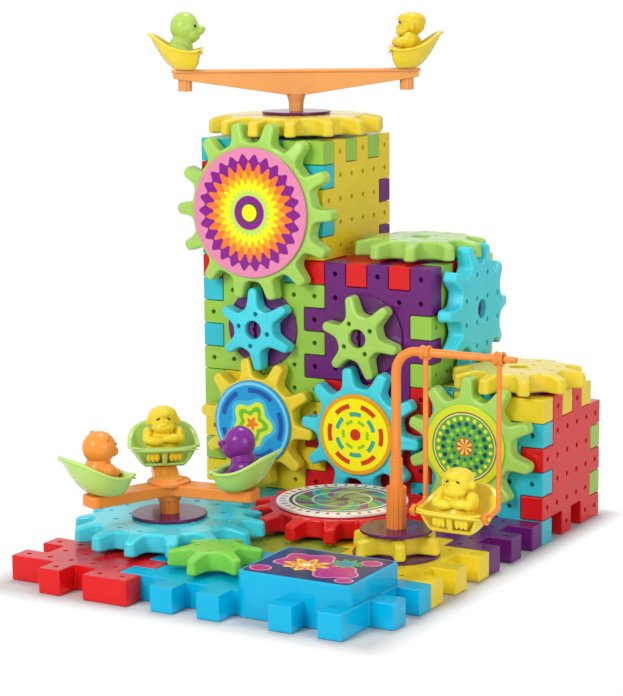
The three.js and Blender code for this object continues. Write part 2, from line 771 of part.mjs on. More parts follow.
piece(spindles.swing_gear, "swing_post", "orange", swingPostGeometry());
[["left", -1], ["right", 1]].forEach(([side, sign]) => {
  const rodMesh = piece(spindles.swing_gear, "swing_rod_" + side, "orange", hangerGeometry());
  rodMesh.position.set(swing.middle + sign * hangerOffset, 0, swing.armHeight);
});
const swingSeat = piece(spindles.swing_gear, "swing_seat", "yellow", swingSeatGeometry());
swingSeat.rotation.z = -Math.PI / 2;
swingSeat.position.set(
  swing.middle,
  swing.pinSet - swing.hookForward,
  swing.hookHeight - boat.frontHeight + swing.pinBelowRim,
);

export default toy;
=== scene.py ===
import math

import bpy
import numpy as np
from mathutils import Matrix, Vector
from mathutils.geometry import delaunay_2d_cdt


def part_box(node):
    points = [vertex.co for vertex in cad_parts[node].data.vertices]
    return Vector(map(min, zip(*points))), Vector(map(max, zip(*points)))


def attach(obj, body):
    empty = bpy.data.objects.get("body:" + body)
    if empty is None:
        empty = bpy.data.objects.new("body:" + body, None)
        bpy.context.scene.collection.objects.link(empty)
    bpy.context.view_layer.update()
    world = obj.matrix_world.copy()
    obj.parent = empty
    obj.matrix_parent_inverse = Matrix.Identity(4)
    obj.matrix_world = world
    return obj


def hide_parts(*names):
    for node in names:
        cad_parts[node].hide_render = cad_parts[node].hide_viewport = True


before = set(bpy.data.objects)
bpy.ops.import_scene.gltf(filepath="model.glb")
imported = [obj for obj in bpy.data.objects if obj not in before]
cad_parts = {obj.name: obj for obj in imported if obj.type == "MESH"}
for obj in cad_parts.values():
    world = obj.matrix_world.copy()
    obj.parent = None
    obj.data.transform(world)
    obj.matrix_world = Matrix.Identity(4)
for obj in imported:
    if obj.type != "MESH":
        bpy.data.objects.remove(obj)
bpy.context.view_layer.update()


# Castle plates: square tiles moulded in glossy plastic, clipped into floors and towers by the teeth on
# their edges. A peg hole runs through every grid cell, and every edge is softly rounded.
mm = 0.001
cell = 12.8 * mm
seam = 0.15 * mm
plate_step = 5
tooth_cells = (2, 4)
origin_cell = np.array([8.5, 10.5, 0.0])
plate_edge = 0.62 * mm
plate_corner = 0.75 * mm
peg_radius = 1.3 * mm
peg_edge = 0.3 * mm
plate_colours = {
    "red": (214, 18, 22),
    "teal": (46, 188, 204),
    "light_green": (150, 196, 72),
    "amber": (234, 206, 38),
    "purple": (104, 26, 112),
    # The centre base plate is green plastic, dulled to olive by a painted reflection.
    "olive": (144, 164, 58),
}
facings = {name: np.array([along, across, np.cross(along, across)], float) for name, along, across in (
    ("base", (1, 0, 0), (0, 1, 0)),
    ("deck", (1, 0, 0), (0, 1, 0)),
    ("front", (1, 0, 0), (0, 0, 1)),
    ("right", (0, 1, 0), (0, 0, 1)),
    ("back", (-1, 0, 0), (0, 0, 1)),
    ("left", (0, -1, 0), (0, 0, 1)),
)}
# Colour, lowest cell across, back and up, and the side whose last tooth fills the corner.
plates = {
    "base_plate_front_left": ("red", 0, 0, 0, 0),
    "base_plate_middle_left": ("red", 0, 5, 0, 0),
    "base_plate_back_left": ("teal", 0, 10, 0, 0),
    "base_plate_centre": ("olive", 5, 5, 0, 0),
    "base_plate_back_centre": ("red", 5, 10, 0, 0),
    "base_plate_right": ("amber", 10, 5, 0, 0),
    "base_plate_back_right": ("purple", 10, 10, 0, 0),
    "front_wall_lower_left": ("amber", 0, 15, 0, 0),
    "front_wall_lower_centre": ("red", 5, 15, 0, 1),
    "front_wall_lower_right": ("teal", 10, 15, 0, 0),
    "front_wall_middle_left": ("light_green", 0, 15, 5, 0),
    "front_wall_middle_right": ("purple", 5, 15, 5, 1),
    "front_wall_upper": ("teal", 0, 15, 10, 2),
    "right_wall_lower": ("red", 15, 15, 0, 0),
    "right_wall_middle": ("light_green", 10, 15, 5, 0),
    "right_wall_upper": ("amber", 5, 15, 10, 1),
    "deck_right": ("amber", 10, 15, 5, 0),
    "deck_centre": ("red", 5, 15, 10, 3),
    "deck_left": ("light_green", 0, 15, 15, 0),
    "left_wall_lower": ("light_green", 0, 15, 0, 1),
    "left_wall_middle": ("teal", 0, 15, 5, 3),
    "left_wall_upper": ("red", 0, 15, 10, 0),
    "back_wall_lower_left": ("amber", 0, 20, 0, 0),
    "back_wall_lower_centre": ("teal", 5, 20, 0, 0),
    "back_wall_lower_right": ("light_green", 10, 20, 0, 0),
    "back_wall_middle_left": ("red", 0, 20, 5, 3),
    "back_wall_middle_right": ("amber", 5, 20, 5, 2),
    "back_wall_upper": ("purple", 0, 20, 10, 0),
}


def directions(angles):
    """Unit directions at these angles."""
    return np.stack([np.cos(angles), np.sin(angles)], -1)


def even_turns(count):
    """Angles spaced evenly round a circle."""
    return np.arange(count) * 2 * np.pi / count


def rounded_outline(corners, radii, steps=4):
    """Closed outline whose corners are arcs: the centre lies on each corner's bisector, the radius over the
    cosine of half the turn away from it, and the outward direction turns evenly from side to side."""
    corners = np.asarray(corners, float)
    arriving = corners - np.roll(corners, 1, axis=0)
    leaving = np.roll(corners, -1, axis=0) - corners
    start = np.arctan2(-arriving[:, 0], arriving[:, 1])
    turn = np.arctan2(-leaving[:, 0], leaving[:, 1]) - start
    turn = (turn + np.pi) % (2 * np.pi) - np.pi
    reach = np.sign(turn) * np.broadcast_to(radii, len(corners))
    centres = corners - (reach / np.cos(turn / 2))[:, None] * directions(start + turn / 2)
    outwards = directions(start[:, None] + turn[:, None] * np.linspace(0, 1, steps))
    points = (centres[:, None] + reach[:, None, None] * outwards).reshape(-1, 2)
    outwards = outwards.reshape(-1, 2)
    moved = np.linalg.norm(points - np.roll(points, 1, axis=0), axis=1) > 1e-7
    return points[moved], outwards[moved]


def circle(radius, sides=72, x=0.0, y=0.0, way=1):
    """A round outline about a point, with its outward directions. Run the other way, it is a hole's wall."""
    spokes = directions(way * even_turns(sides))
    return np.array([x, y]) + radius * spokes, way * spokes


def peg_holes(middles):
    """Peg holes about these points: each an outline and the radius of its edge."""
    return [(circle(peg_radius, 12, x, y, -1), peg_edge) for x, y in middles]


def ring_quads(levels, sides, first=0):
    """Faces between rings of points that are numbered one ring after another, by level and step."""
    level, step = np.meshgrid(np.arange(levels - 1), np.arange(sides), indexing="ij")
    here, onward = (first + level * sides + way % sides for way in (step, step + 1))
    return np.stack([here, onward, onward + sides, here + sides], -1)


def slab(line, edge, low, high, holes=(), draft=0.0, steps=3):
    """Flat solid: the outline (points, outward directions) and each hole are carried up a wall between two
    quarter rounds of their edge radius, the outline leaning in by a draft, and the two faces are filled
    between the innermost lines. Returns points, directions that the surface faces, and faces."""
    quarter = np.linspace(-np.pi / 2, 0, steps)
    angles = np.concatenate([quarter, -quarter[::-1]])
    upper = np.arange(len(angles)) >= steps
    points, normals, faces, bottoms, tops = [], [], [], [], []
    count = 0
    for (path, outwards), rounding, lean in [(line, edge, draft)] + [hole + (0,) for hole in holes]:
        size = len(path)
        inset = rounding * (1 - np.cos(angles)) + np.where(upper, lean, 0)
        height = np.where(upper, high - rounding, low + rounding) + rounding * np.sin(angles)
        rings = path - inset[:, None, None] * outwards
        z, tilt = (np.repeat(values, size).reshape(-1, size, 1) for values in (height, np.sin(angles)))
        looks = np.cos(angles)[:, None, None] * outwards
        points.append(np.concatenate([rings, z], 2).reshape(-1, 3))
        normals.append(np.concatenate([looks, tilt], 2).reshape(-1, 3))
        faces += ring_quads(len(angles), size, count).reshape(-1, 4).tolist()
        bottoms.append(count + np.arange(size))
        tops.append(bottoms[-1] + (len(angles) - 1) * size)
        count += len(angles) * size
    points, normals = np.concatenate(points), np.concatenate(normals)
    sizes = [len(ring) for ring in bottoms]
    owner = np.repeat(np.arange(len(sizes)), sizes)
    onward = np.arange(len(owner)) + 1
    onward[np.cumsum(sizes) - 1] -= sizes
    edges = list(enumerate(onward.tolist()))
    for ring, up in ((np.concatenate(bottoms), False), (np.concatenate(tops), True)):
        flat = [Vector(p) for p in (points[ring, :2] / mm).tolist()]
        _, _, found, origin, _, _ = delaunay_2d_cdt(flat, edges, [], 1, 1e-6)
        triangles = np.array([o[0] for o in origin])[np.array(found)]
        mine = owner[triangles]
        in_hole = (mine[:, 0] > 0) & (mine[:, 0] == mine[:, 1]) & (mine[:, 0] == mine[:, 2])
        triangles = ring[triangles[~in_hole]]
        p, q, r = (points[triangles[:, k], :2] for k in range(3))
        area = (q - p)[:, 0] * (r - p)[:, 1] - (q - p)[:, 1] * (r - p)[:, 0]
        wrong = (area > 0) != up
        triangles[wrong] = triangles[wrong][:, ::-1]
        faces += triangles[area != 0].tolist()
    return points, normals, faces


def placed(part, axes, start):
    """A part whose own x, y and z run along the rows of axes, from the point start."""
    points, normals, faces = part
    return points @ axes + np.asarray(start), normals @ axes, faces


def turned(angle):
    """Axes of a part turned counter-clockwise about z, by an angle in degrees."""
    c, s = math.cos(math.radians(angle)), math.sin(math.radians(angle))
    return np.array([[c, s, 0], [-s, c, 0], [0, 0, 1]])


def joined(parts):
    """Several parts as one list of points, directions and faces."""
    shift = np.cumsum([0] + [len(part[0]) for part in parts])
    faces = [[v + int(s) for v in face] for part, s in zip(parts, shift) for face in part[2]]
    return np.concatenate([p[0] for p in parts]), np.concatenate([p[1] for p in parts]), faces


def in_scene(name, data):
    """A new object of a mesh, a lamp or a camera, linked to the scene."""
    made = bpy.data.objects.new(name, data)
    bpy.context.scene.collection.objects.link(made)
    return made


def new_piece(name, parts, place, material, body, *nodes):
    """A smooth mesh of parts set at a place (axes, start), riding a body and standing for its CAD nodes. It
    keeps the parts' exact directions; where they give none, Blender works them out."""
    points, normals, faces = joined([placed(part, *place) for part in parts])
    mesh = bpy.data.meshes.new(name)
    mesh.from_pydata(points.tolist(), [], faces)
    mesh.polygons.foreach_set("use_smooth", np.ones(len(faces), bool))
    if normals.any():
        mesh.normals_split_custom_set_from_vertices(normals.tolist())
    mesh.materials.append(material)
    piece = in_scene(name, mesh)
    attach(piece, body)
    if nodes:
        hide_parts(*nodes)
    return piece


class Value:
    """A number in a material: + - * / and any other operation by math() add Math nodes."""

    def __init__(self, finish, socket):
        self.finish = finish
        self.socket = socket

    def math(self, operation, *others):
        inputs = dict(enumerate((self,) + others))
        return self.finish.node("Math", inputs, {"operation": operation})

    def __add__(self, other):
        return self.math("ADD", other)

    __radd__ = __add__

    def __mul__(self, other):
        return self.math("MULTIPLY", other)

    __rmul__ = __mul__

    def __sub__(self, other):
        return self.math("SUBTRACT", other)

    def __rsub__(self, other):
        return self.finish.node("Math", {0: other, 1: self}, {"operation": "SUBTRACT"})

    def __truediv__(self, other):
        return self.math("DIVIDE", other)


class Finish:
    """The nodes of a material or world: node() takes a type, the values or links of its sockets and the
    node's settings, which are set first."""

    def __init__(self, owner):
        self.material = owner
        owner.use_nodes = True
        self.tree = owner.node_tree
        self.tree.nodes.clear()

    def node(self, kind, sockets=None, settings=None, output=0):
        made = self.tree.nodes.new("ShaderNode" + kind)
        for key, value in (settings or {}).items():
            setattr(made, key, value)
        for key, value in (sockets or {}).items():
            if isinstance(value, Value):
                self.tree.links.new(value.socket, made.inputs[key])
            else:
                made.inputs[key].default_value = value
        return Value(self, made.outputs[output]) if made.outputs else made

    def place(self, centre=(0, 0, 0)):
        """Object coordinates, moved so that the centre is at zero."""
        here = self.node("TexCoord", output=3)
        return self.node("Mapping", {0: here, 1: tuple(-v for v in centre)})

    def noise(self, vector, scale, detail=2.0):
        return self.node("TexNoise", {"Vector": vector, "Scale": scale, "Detail": detail})

    def mix(self, share, first, second):
        return self.node("Mix", {0: share, 6: first, 7: second}, {"data_type": "RGBA"}, 2)

    def glossy(self, colour, roughness, grain, settings=None):
        """The shader: a colour, a roughness and the height of a fine grain, with the rest of it fixed."""
        bump = self.node("Bump", {"Strength": 0.25, "Distance": 0.00006, "Height": grain})
        sockets = {"Base Color": colour, "Roughness": roughness, "Normal": bump, "Specular IOR Level": 0.3}
        sockets.update(settings or {})
        shader = self.node("BsdfPrincipled", sockets)
        self.node("OutputMaterial", {"Surface": shader})
        return self.material


def linear(red, green, blue, shade=1.0):
    """A screen colour, from 0 to 255, as the linear colour that a shader takes."""
    share = np.array([red, green, blue]) / 255
    light = np.where(share < 0.04045, share / 12.92, ((share + 0.055) / 1.055) ** 2.4) * shade
    return tuple(np.clip(light, 0, 1).tolist()) + (1.0,)


def moulded(name, rgb, roughness=0.2, settings=None):
    """Injection-moulded plastic: faint cloudy flow in the colour, patchy gloss and a fine skin grain."""
    finish = Finish(bpy.data.materials.new(name))
    here = finish.place()
    flow = finish.noise(here, 45.0, 3.0)
    worn = finish.noise(here, 210.0, 4.0)
    grain = finish.noise(here, 1500.0)
    colour = finish.mix(flow, linear(*rgb, 0.9), linear(*rgb, 1.1))
    return finish.glossy(colour, roughness - 0.05 + 0.14 * worn, grain, settings)


def castle_outline(plates_wide, plates_high, filled_side):
    """Outline of a castle slab: along each side a tooth stands on cells 2 and 4 of every 5, and the last
    tooth of the filled side also takes in the corner cell."""
    wide, high = plates_wide * plate_step + 1, plates_high * plate_step + 1
    ways = ((1, 0), (0, 1), (-1, 0), (0, -1))
    points = []
    foot, tip = cell + seam, seam
    for side, start in enumerate([(0, 0), (wide, 0), (wide, high), (0, high)]):
        along, inward = ways[side], ways[(side + 1) % 4]
        count = (plates_wide, plates_high)[side % 2]
        end = count * plate_step * cell
        steps = [(foot, foot)]
        for at in [plate_step * k + tooth for k in range(count) for tooth in tooth_cells]:
            left, right = at * cell + seam, (at + 1) * cell - seam
            steps += [(left, foot), (left, tip), (right, tip), (right, foot)]
        steps.pop()
        if side == filled_side:
            reach = end + cell - seam
            steps[-1] = (reach, tip)
            steps += [(reach, cell - seam), (end - seam, cell - seam)]
        s, w = np.array(steps).T
        points.append(np.array(start) * cell + np.outer(s, along) + np.outer(w, inward))
    return rounded_outline(np.concatenate(points), plate_corner)


def castle_cells(filled_side):
    """The middles of a plate's cells: sixteen in its body, two teeth a side, and the filled corner."""
    body = [(x, y) for x in range(1, 5) for y in range(1, 5)]
    teeth = [(2, 0), (4, 0), (5, 2), (5, 4), (3, 5), (1, 5), (0, 3), (0, 1)]
    corner = [[(5, 0)], [(5, 5)], [(0, 5)], [(0, 0)]][filled_side]
    return (np.array(body + teeth + corner) + 0.5) * cell


def grid_place(name, low_cell):
    """Axes and starting corner of a plate that fills the grid from low_cell on, as its CAD node does. It
    faces the way that its name starts with."""
    axes = facings[name.split("_")[0]]
    backwards = axes.sum(axis=1) < 0
    reach = np.array([plate_step + 1, plate_step + 1, 1])
    corner = np.array(low_cell) - (axes[backwards] * reach[backwards][:, None]).sum(axis=0)
    return axes, (corner - origin_cell) * cell - np.array([0, 0, seam])


plate_finishes = {name: moulded("plate_" + name, rgb) for name, rgb in plate_colours.items()}
carriers = {}
for name, (colour, *low_cell, filled_side) in plates.items():
    carriers[name] = grid_place(name, low_cell)
    holes = peg_holes(castle_cells(filled_side))
    tile = slab(castle_outline(1, 1, filled_side), plate_edge, seam, cell - seam, holes)
    new_piece("tile_" + name, [tile], carriers[name], plate_finishes[colour], "frame", name)


# Motor housing: a double castle slab in bright blue with the raised battery box on it, moulded in one.
# A black slide switch with five grip ribs sits in a slot on its back wall.
carriers["motor_housing"] = grid_place("base", (5, 0, 0))
box_low = np.array([66.56, 11.52]) * mm
box_size = np.array([59.6, 48.6]) * mm
box_middle = box_low + box_size / 2
box_top, box_corner, box_edge = cell + 9.6 * mm, 3 * mm, 0.7 * mm
knob_size, knob_corner, knob_edge = np.array([6, 3.8]) * mm, 0.4 * mm, 0.25 * mm
knob_back, knob_face = -1.7 * mm, 1.0 * mm
rib_size, rib_step, rib_edge, rib_face = np.array([0.5, 3.2]) * mm, 1.05 * mm, 0.2 * mm, 1.65 * mm
housing_blue = moulded("housing_blue", (0, 172, 214), 0.16)
knob_black = moulded("knob_black", (32, 32, 36), 0.4)


def rectangle(width, depth, radius, x=0.0, y=0.0):
    """A rounded rectangle about a point."""
    half = np.array([[-1, -1], [1, -1], [1, 1], [-1, 1]]) * [width / 2, depth / 2]
    return rounded_outline(half + [x, y], radius, 6)


double_plate = slab(castle_outline(2, 1, -1), plate_edge, seam, cell - seam)
box = slab(rectangle(*box_size, box_corner, *box_middle), box_edge, seam, box_top, steps=4)
new_piece("housing_shell", [double_plate, box], carriers["motor_housing"], housing_blue, "frame",
          "motor_housing")

knob_place = (facings["back"], sum(np.array(corner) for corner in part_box("power_switch")) / 2)
knob = [slab(rectangle(*knob_size, knob_corner), knob_edge, knob_back, knob_face)]
for x in np.arange(-2, 3) * rib_step:
    knob.append(slab(rectangle(*rib_size, rib_edge, x), rib_edge, knob_face / 2, rib_face))
new_piece("switch_knob", knob, knob_place, knob_black, "switch", "power_switch")


# Axles: a purple flange disc that clips onto a plate, with a slotted boss on which a wheel turns.
# Its two split prongs are seen at the bottom of the wheel's bore. The motor's has a blue collar instead.
wheel_lift, wheel_thickness, bore_radius = 1.8 * mm, 9.6 * mm, 5 * mm
flange_radius, flange_edge, flange_low, flange_top = np.array([21.5, 0.35, 0.15, 1.35]) * mm
ring_radius, foot_radius, prong_radius, hollow_radius = np.array([12, 4.2, 4.6, 1.7]) * mm
collar_radius, collar_edge, collar_low, collar_top = np.array([8, 0.4, -0.5, 1.4]) * mm
boss_edge, boss_low = 0.2 * mm, 1.2 * mm
boss_top = wheel_lift + wheel_thickness - 3 * mm
axle_purple = moulded("axle_purple", (96, 40, 104), 0.16)
# Carrying plate, column and row of the axle on it, number of fingers, colour, and angle at rest.
wheels = {
    "motor_gear": ("motor_housing", 3, 3, 6, "leaf_green", 150),
    "carousel_gear": ("base_plate_middle_left", 4, 1, 14, "teal", -4),
    "pinwheel_gear": ("base_plate_back_centre", 4, 1, 14, "red", 8),
    "swing_gear": ("base_plate_right", 3, 3, 6, "yellow", 2),
    "upper_gear": ("front_wall_upper", 3, 3, 14, "light_green", 0),
    "idler_gear_left": ("front_wall_middle_left", 3, 3, 6, "teal", 34),
    "lower_gear_left": ("front_wall_lower_left", 3, 4, 10, "yellow", -7),
    "lower_gear_centre": ("front_wall_lower_centre", 3, 4, 10, "teal", 30.5),
    "lower_gear_right": ("front_wall_lower_right", 3, 4, 10, "light_green", 20),
    "idler_gear_centre": ("front_wall_middle_right", 3, 3, 6, "light_green", -14),
    "seesaw_gear": ("deck_left", 3, 3, 14, "yellow", 12.9),
    "deck_gear_centre": ("deck_centre", 4, 3, 10, "light_green", -1),
    "deck_gear_right": ("deck_right", 4, 2, 10, "yellow", 10.5),
    "side_gear": ("right_wall_middle", 3, 4, 10, "teal", 0),
}


def spindle(wheel):
    """Axes and starting point of a wheel's own frame: on its axle, at the carrying plate's outer face."""
    carrier, column, row = wheels[wheel][:3]
    axes, start = carriers[carrier]
    return axes, start + np.array([column * cell, row * cell, cell]) @ axes


def prong(side):
    """Half of the split boss: an outer arc, and a hollow for the peg in the middle of its straight side."""
    outer = directions(np.radians(np.linspace(-79, 79, 15)))
    hollow = directions(np.radians(np.linspace(60, -60, 7)))
    arcs = np.concatenate([prong_radius * outer, hollow_radius * hollow])
    return rounded_outline(arcs * side, 0.25 * mm, 3)


axle = [
    slab(circle(flange_radius, 96), flange_edge, flange_low, flange_top),
    slab(circle(ring_radius), boss_edge, 1.0 * mm, 1.6 * mm),
    slab(circle(foot_radius, 32), boss_edge, boss_low, boss_top - 2.5 * mm),
    slab(prong(1), boss_edge, boss_low, boss_top),
    slab(prong(-1), boss_edge, boss_low, boss_top),
]
motor_collar = slab(circle(collar_radius, 48), collar_edge, collar_low, collar_top)
new_piece("motor_collar", [motor_collar], spindle("motor_gear"), housing_blue, "frame")
for name in list(wheels)[1:]:
    new_piece("axle_" + name, axle, spindle(name), axle_purple, "frame")


# Gear wheels: moulded finger gears, 6, 10 or 14 fingers long enough to mesh flat or at a right angle. The
# fingers lean in from their foot and slope down to a round tip, and peg holes ring the hub on the grid.
finger_tip, finger_root, finger_lean = 3.8 * mm, 7.0 * mm, 0.3 * mm
finger_widths = np.array([4.0, 3.3, 3.0, 2.65]) * mm
finger_bends = np.array([3.2, 3, 3, 2.6, 2.6, 3, 3, 3.2]) * mm
finger_edge, bore_edge, peg_margin = 1.4 * mm, 0.9 * mm, 9.9 * mm
tip_slope = 0.2
wheel_colours = {
    "leaf_green": (124, 204, 74),
    # Teal is the wheels' own teal plastic, made a little lighter as a painted sheen.
    "teal": (70, 210, 226),
    "red": (214, 22, 26),
    "yellow": (232, 206, 56),
    "light_green": (164, 208, 94),
}


def turned_copies(corners, angles):
    """The corners turned about the middle by each angle, one turn after another."""
    c, s = np.cos(angles), np.sin(angles)
    spin = np.stack([np.stack([c, s], 1), np.stack([-s, c], 1)], 1)
    return np.einsum("pk,tkj->tpj", corners, spin).reshape(-1, 2)


def finger_outline(teeth, pitch):
    """Outline of a finger gear: each finger narrows from its foot to a tip with large round corners, and the
    corners between two fingers are hollow. The points of one finger are turned round the hub."""
    radius = np.linspace(pitch - finger_root, pitch + finger_tip, len(finger_widths))
    width = finger_widths + (0.45 * mm if teeth > 6 else 0)
    side = np.stack([radius, -width], 1)
    finger = np.concatenate([side, (side * [1, -1])[::-1]])
    return rounded_outline(turned_copies(finger, even_turns(teeth)), np.tile(finger_bends, teeth), 5)


def gear_part(teeth, open_bore=True):
    """A finger gear: the slab's top falls from the foot of the fingers outwards, by the slope times the
    distance, and the direction that it faces leans out as much. The motor's wheel has no bore."""
    pitch = teeth * cell / 4
    steps = (np.arange(-3, 3) + 0.5) * cell
    pegs = np.array([(x, y) for x in steps for y in steps])
    holes = peg_holes(pegs[np.linalg.norm(pegs, axis=1) < pitch - peg_margin])
    if open_bore:
        holes.append((circle(bore_radius, 40, way=-1), bore_edge))
    low, high = wheel_lift, wheel_lift + wheel_thickness
    outline = finger_outline(teeth, pitch)
    points, normals, faces = slab(outline, finger_edge, low, high, holes, finger_lean, 5)
    reach = np.linalg.norm(points[:, :2], axis=1)
    beyond = np.maximum(reach - (pitch - finger_root) - 0.5 * mm, 0)
    upper = points[:, 2] > (low + high) / 2
    points[:, 2] -= np.where(upper, tip_slope * beyond, 0)
    lean = np.where(upper & (beyond > 0), tip_slope * normals[:, 2], 0)
    normals[:, :2] += lean[:, None] * points[:, :2] / np.maximum(reach, mm)[:, None]
    return points, normals / np.linalg.norm(normals, axis=1)[:, None], faces


def set_on(place, heading, spot=(0, 0, 0)):
    """A place on another one: at a spot in millimetres, turned about its z by a heading in degrees."""
    axes, start = place
    return turned(heading) @ axes, start + np.array(spot) * mm @ axes


def body_of(wheel):
    """The body that a wheel turns with: lower_left_wheel for lower_gear_left."""
    return wheel.replace("_gear", "") + "_wheel"


wheel_finishes = {name: moulded("wheel_" + name, rgb, 0.17) for name, rgb in wheel_colours.items()}
for name, (_, _, _, teeth, colour, angle) in wheels.items():
    gear = gear_part(teeth, name != "motor_gear")
    new_piece("wheel_" + name, [gear], set_on(spindle(name), angle), wheel_finishes[colour], body_of(name),
              name)


# Cover discs: printed card-thin discs snapped onto the faces of five wheels. Each carries its own bright
# ring pattern, worked out from the distance and the angle about the disc's middle.
cover_low = wheel_lift + wheel_thickness + 0.3 * mm
cover_top, cover_edge = cover_low + 1.5 * mm, 0.35 * mm


class Print(Finish):
    """A printed face: places about a centre, as shares of the radius, and inks laid over one another."""

    def __init__(self, name, centre, facing, radius):
        super().__init__(bpy.data.materials.new(name))
        self.here = self.place(centre)
        self.x, self.y = (self.node("SeparateXYZ", {0: self.here}, output=way) / radius
                          for way in {"up": (0, 1), "front": (0, 2)}[facing])
        self.reach = (self.x * self.x + self.y * self.y).math("SQRT")
        self.angle = self.y.math("ARCTAN2", self.x)
        self.ink = None

    def under(self, value, limit, soft=0.012):
        """1 where value is below limit, with a thin soft edge."""
        return self.node("MapRange", {0: value, 1: limit - soft, 2: limit, 3: 1.0, 4: 0.0})

    def wave(self, count, phase=0.0):
        """A cosine that runs count times round the disc."""
        return (self.angle * count + phase).math("COSINE")

    def lay(self, rgb, mask=None):
        self.ink = linear(*rgb) if mask is None else self.mix(mask, self.ink, linear(*rgb))

    def star(self, limit, rgb, depth=0.0, lobes=0, phase=0.0):
        """Ink out to a limit, which a wave moves in and out by its depth."""
        reach = self.reach - depth * self.wave(lobes, phase) if depth else self.reach
        self.lay(rgb, self.under(reach, limit))

    def ring(self, low, high, rgb, mask=None):
        """Ink between two distances, where the mask is 1."""
        band = self.under(self.reach, high) * (1 - self.under(self.reach, low))
        self.lay(rgb, band * mask if mask else band)

    def dots(self, row, count, size, rgb, phase=0.0):
        """Ink in round dots spaced evenly along a circle: the angle is folded into one dot's share."""
        share = 2 * math.pi / count
        across = ((self.angle + phase + 4 * math.pi).math("MODULO", share) - share / 2) * row
        out = self.reach - row
        self.lay(rgb, self.under((across * across + out * out).math("SQRT"), size))

    def printed(self):
        speckle = self.noise(self.here, 260.0, 3.0)
        grain = self.noise(self.here, 1500.0)
        return self.glossy(self.ink, 0.12 + 0.1 * speckle, grain)


def upper_art(art):
    """Pink rim, then purple, orange and yellow scallops one inside the other, round a purple eye."""
    art.lay((226, 134, 172))
    art.star(0.86, (134, 26, 138), 0.05, 26)
    art.star(0.71, (236, 120, 44), 0.07, 26, math.pi)
    art.star(0.59, (252, 172, 32), 0.06, 26)
    art.star(0.49, (252, 240, 20), 0.05, 26, math.pi)
    art.star(0.36, (190, 222, 90), 0.03, 26)
    art.star(0.27, (134, 26, 138))
    art.star(0.17, (70, 70, 84))
    art.star(0.135, (250, 240, 24))


def left_art(art):
    """Blue disc with a pale ring, a row of dark dashes and a five-lobed flower in lime, green and orange."""
    art.lay((20, 152, 214))
    art.ring(0.9, 0.97, (120, 206, 236))
    art.ring(0.72, 0.84, (16, 84, 168), art.under(0 - art.wave(5), 0.55))
    art.star(0.6, (64, 186, 226), 0.06, 5, 0.6)
    art.star(0.49, (214, 232, 50), 0.07, 5, 0.6)
    art.star(0.37, (112, 190, 40), 0.07, 5, 0.6)
    art.star(0.25, (238, 226, 40), 0.06, 5, 0.6)
    art.star(0.13, (240, 120, 40), 0.04, 5, 0.6)


def centre_art(art):
    """Yellow disc with an orange rim and three rows of dashes, six to a row, turned against each other."""
    art.lay((232, 160, 30))
    art.star(0.9, (250, 240, 20))
    art.ring(0.66, 0.78, (206, 64, 34), art.under(0 - art.wave(6), 0.25))
    art.ring(0.46, 0.57, (60, 170, 150), art.under(art.wave(6), 0.3))
    art.ring(0.3, 0.38, (140, 200, 50), art.under(0 - art.wave(6), 0.2))
    art.star(0.15, (206, 56, 34))


def right_art(art):
    """Yellow-green disc with a brown ring, rows of dots in three colours and a small orange wheel."""
    art.lay((214, 226, 40))
    art.star(0.84, (110, 60, 30))
    art.star(0.81, (236, 226, 170))
    art.star(0.78, (96, 170, 60))
    art.dots(0.68, 24, 0.055, (226, 232, 60))
    art.dots(0.55, 18, 0.065, (20, 78, 110), 0.1)
    art.dots(0.42, 14, 0.055, (150, 214, 70))
    art.dots(0.31, 12, 0.045, (20, 96, 120), 0.2)
    art.star(0.22, (196, 92, 36))
    art.lay((240, 214, 120), art.under(art.reach, 0.2) * art.under(art.wave(8), 0.0))
    art.star(0.07, (236, 160, 50))


def pinwheel_art(art):
    """White rim with red ticks, a navy ring, and curved blades in green, teal and purple."""
    blade = (art.angle + art.reach * 1.6) * 7
    art.lay((244, 246, 240))
    art.ring(0.86, 0.96, (206, 70, 50), art.under(art.wave(36), -0.5))
    art.ring(0.76, 0.81, (46, 44, 110))
    art.star(0.72, (116, 190, 96))
    for phase, limit, rgb in ((0.0, -0.45, (132, 62, 140)), (2.3, -0.7, (60, 150, 160))):
        wave = (blade + phase).math("COSINE")
        art.lay(rgb, art.under(art.reach, 0.72) * art.under(wave, limit, 0.05))
    art.ring(0.44, 0.47, (230, 240, 220))
    art.star(0.12, (40, 60, 110))


covers = [
    ("cover_disc_upper", "upper_gear", 35, "front", upper_art),
    ("cover_disc_left", "lower_gear_left", 23.7, "front", left_art),
    ("cover_disc_centre", "lower_gear_centre", 21.8, "front", centre_art),
    ("cover_disc_right", "lower_gear_right", 22, "front", right_art),
    ("pinwheel_disc", "pinwheel_gear", 34, "up", pinwheel_art),
]
for name, wheel, radius, facing, artwork in covers:
    place = spindle(wheel)
    art = Print("print_" + name, tuple(place[1].tolist()), facing, radius * mm)
    artwork(art)
    disc = slab(circle(radius * mm, 128), cover_edge, cover_low, cover_top)
    new_piece("printed_" + name, [disc], place, art.printed(), body_of(wheel), name)


# Label on the battery box: a printed sticker with a navy border, magenta shapes with pale outlines and a
# yellow burst.
label_size = box_size - 3.2 * mm
label_corner, label_edge = 2.4 * mm, 0.05 * mm
label_low, label_high = box_top - 0.1 * mm, box_top + 0.12 * mm
label_middle = carriers["motor_housing"][1] + np.array([*box_middle, box_top])
label = Print("print_label", tuple(label_middle.tolist()), "up", label_size[0] / 2)
pale_pink, magenta = (240, 130, 196), (190, 16, 132)


def blot(x, y, lobes=1, depth=0.0, phase=0.0):
    """Distance from a point, less a wave round it: below a limit inside a rounded star."""
    across = label.x - x
    along = (label.y - y) * 1.15
    turn = along.math("ARCTAN2", across) * lobes + phase
    return (across * across + along * along).math("SQRT") - turn.math("COSINE") * depth


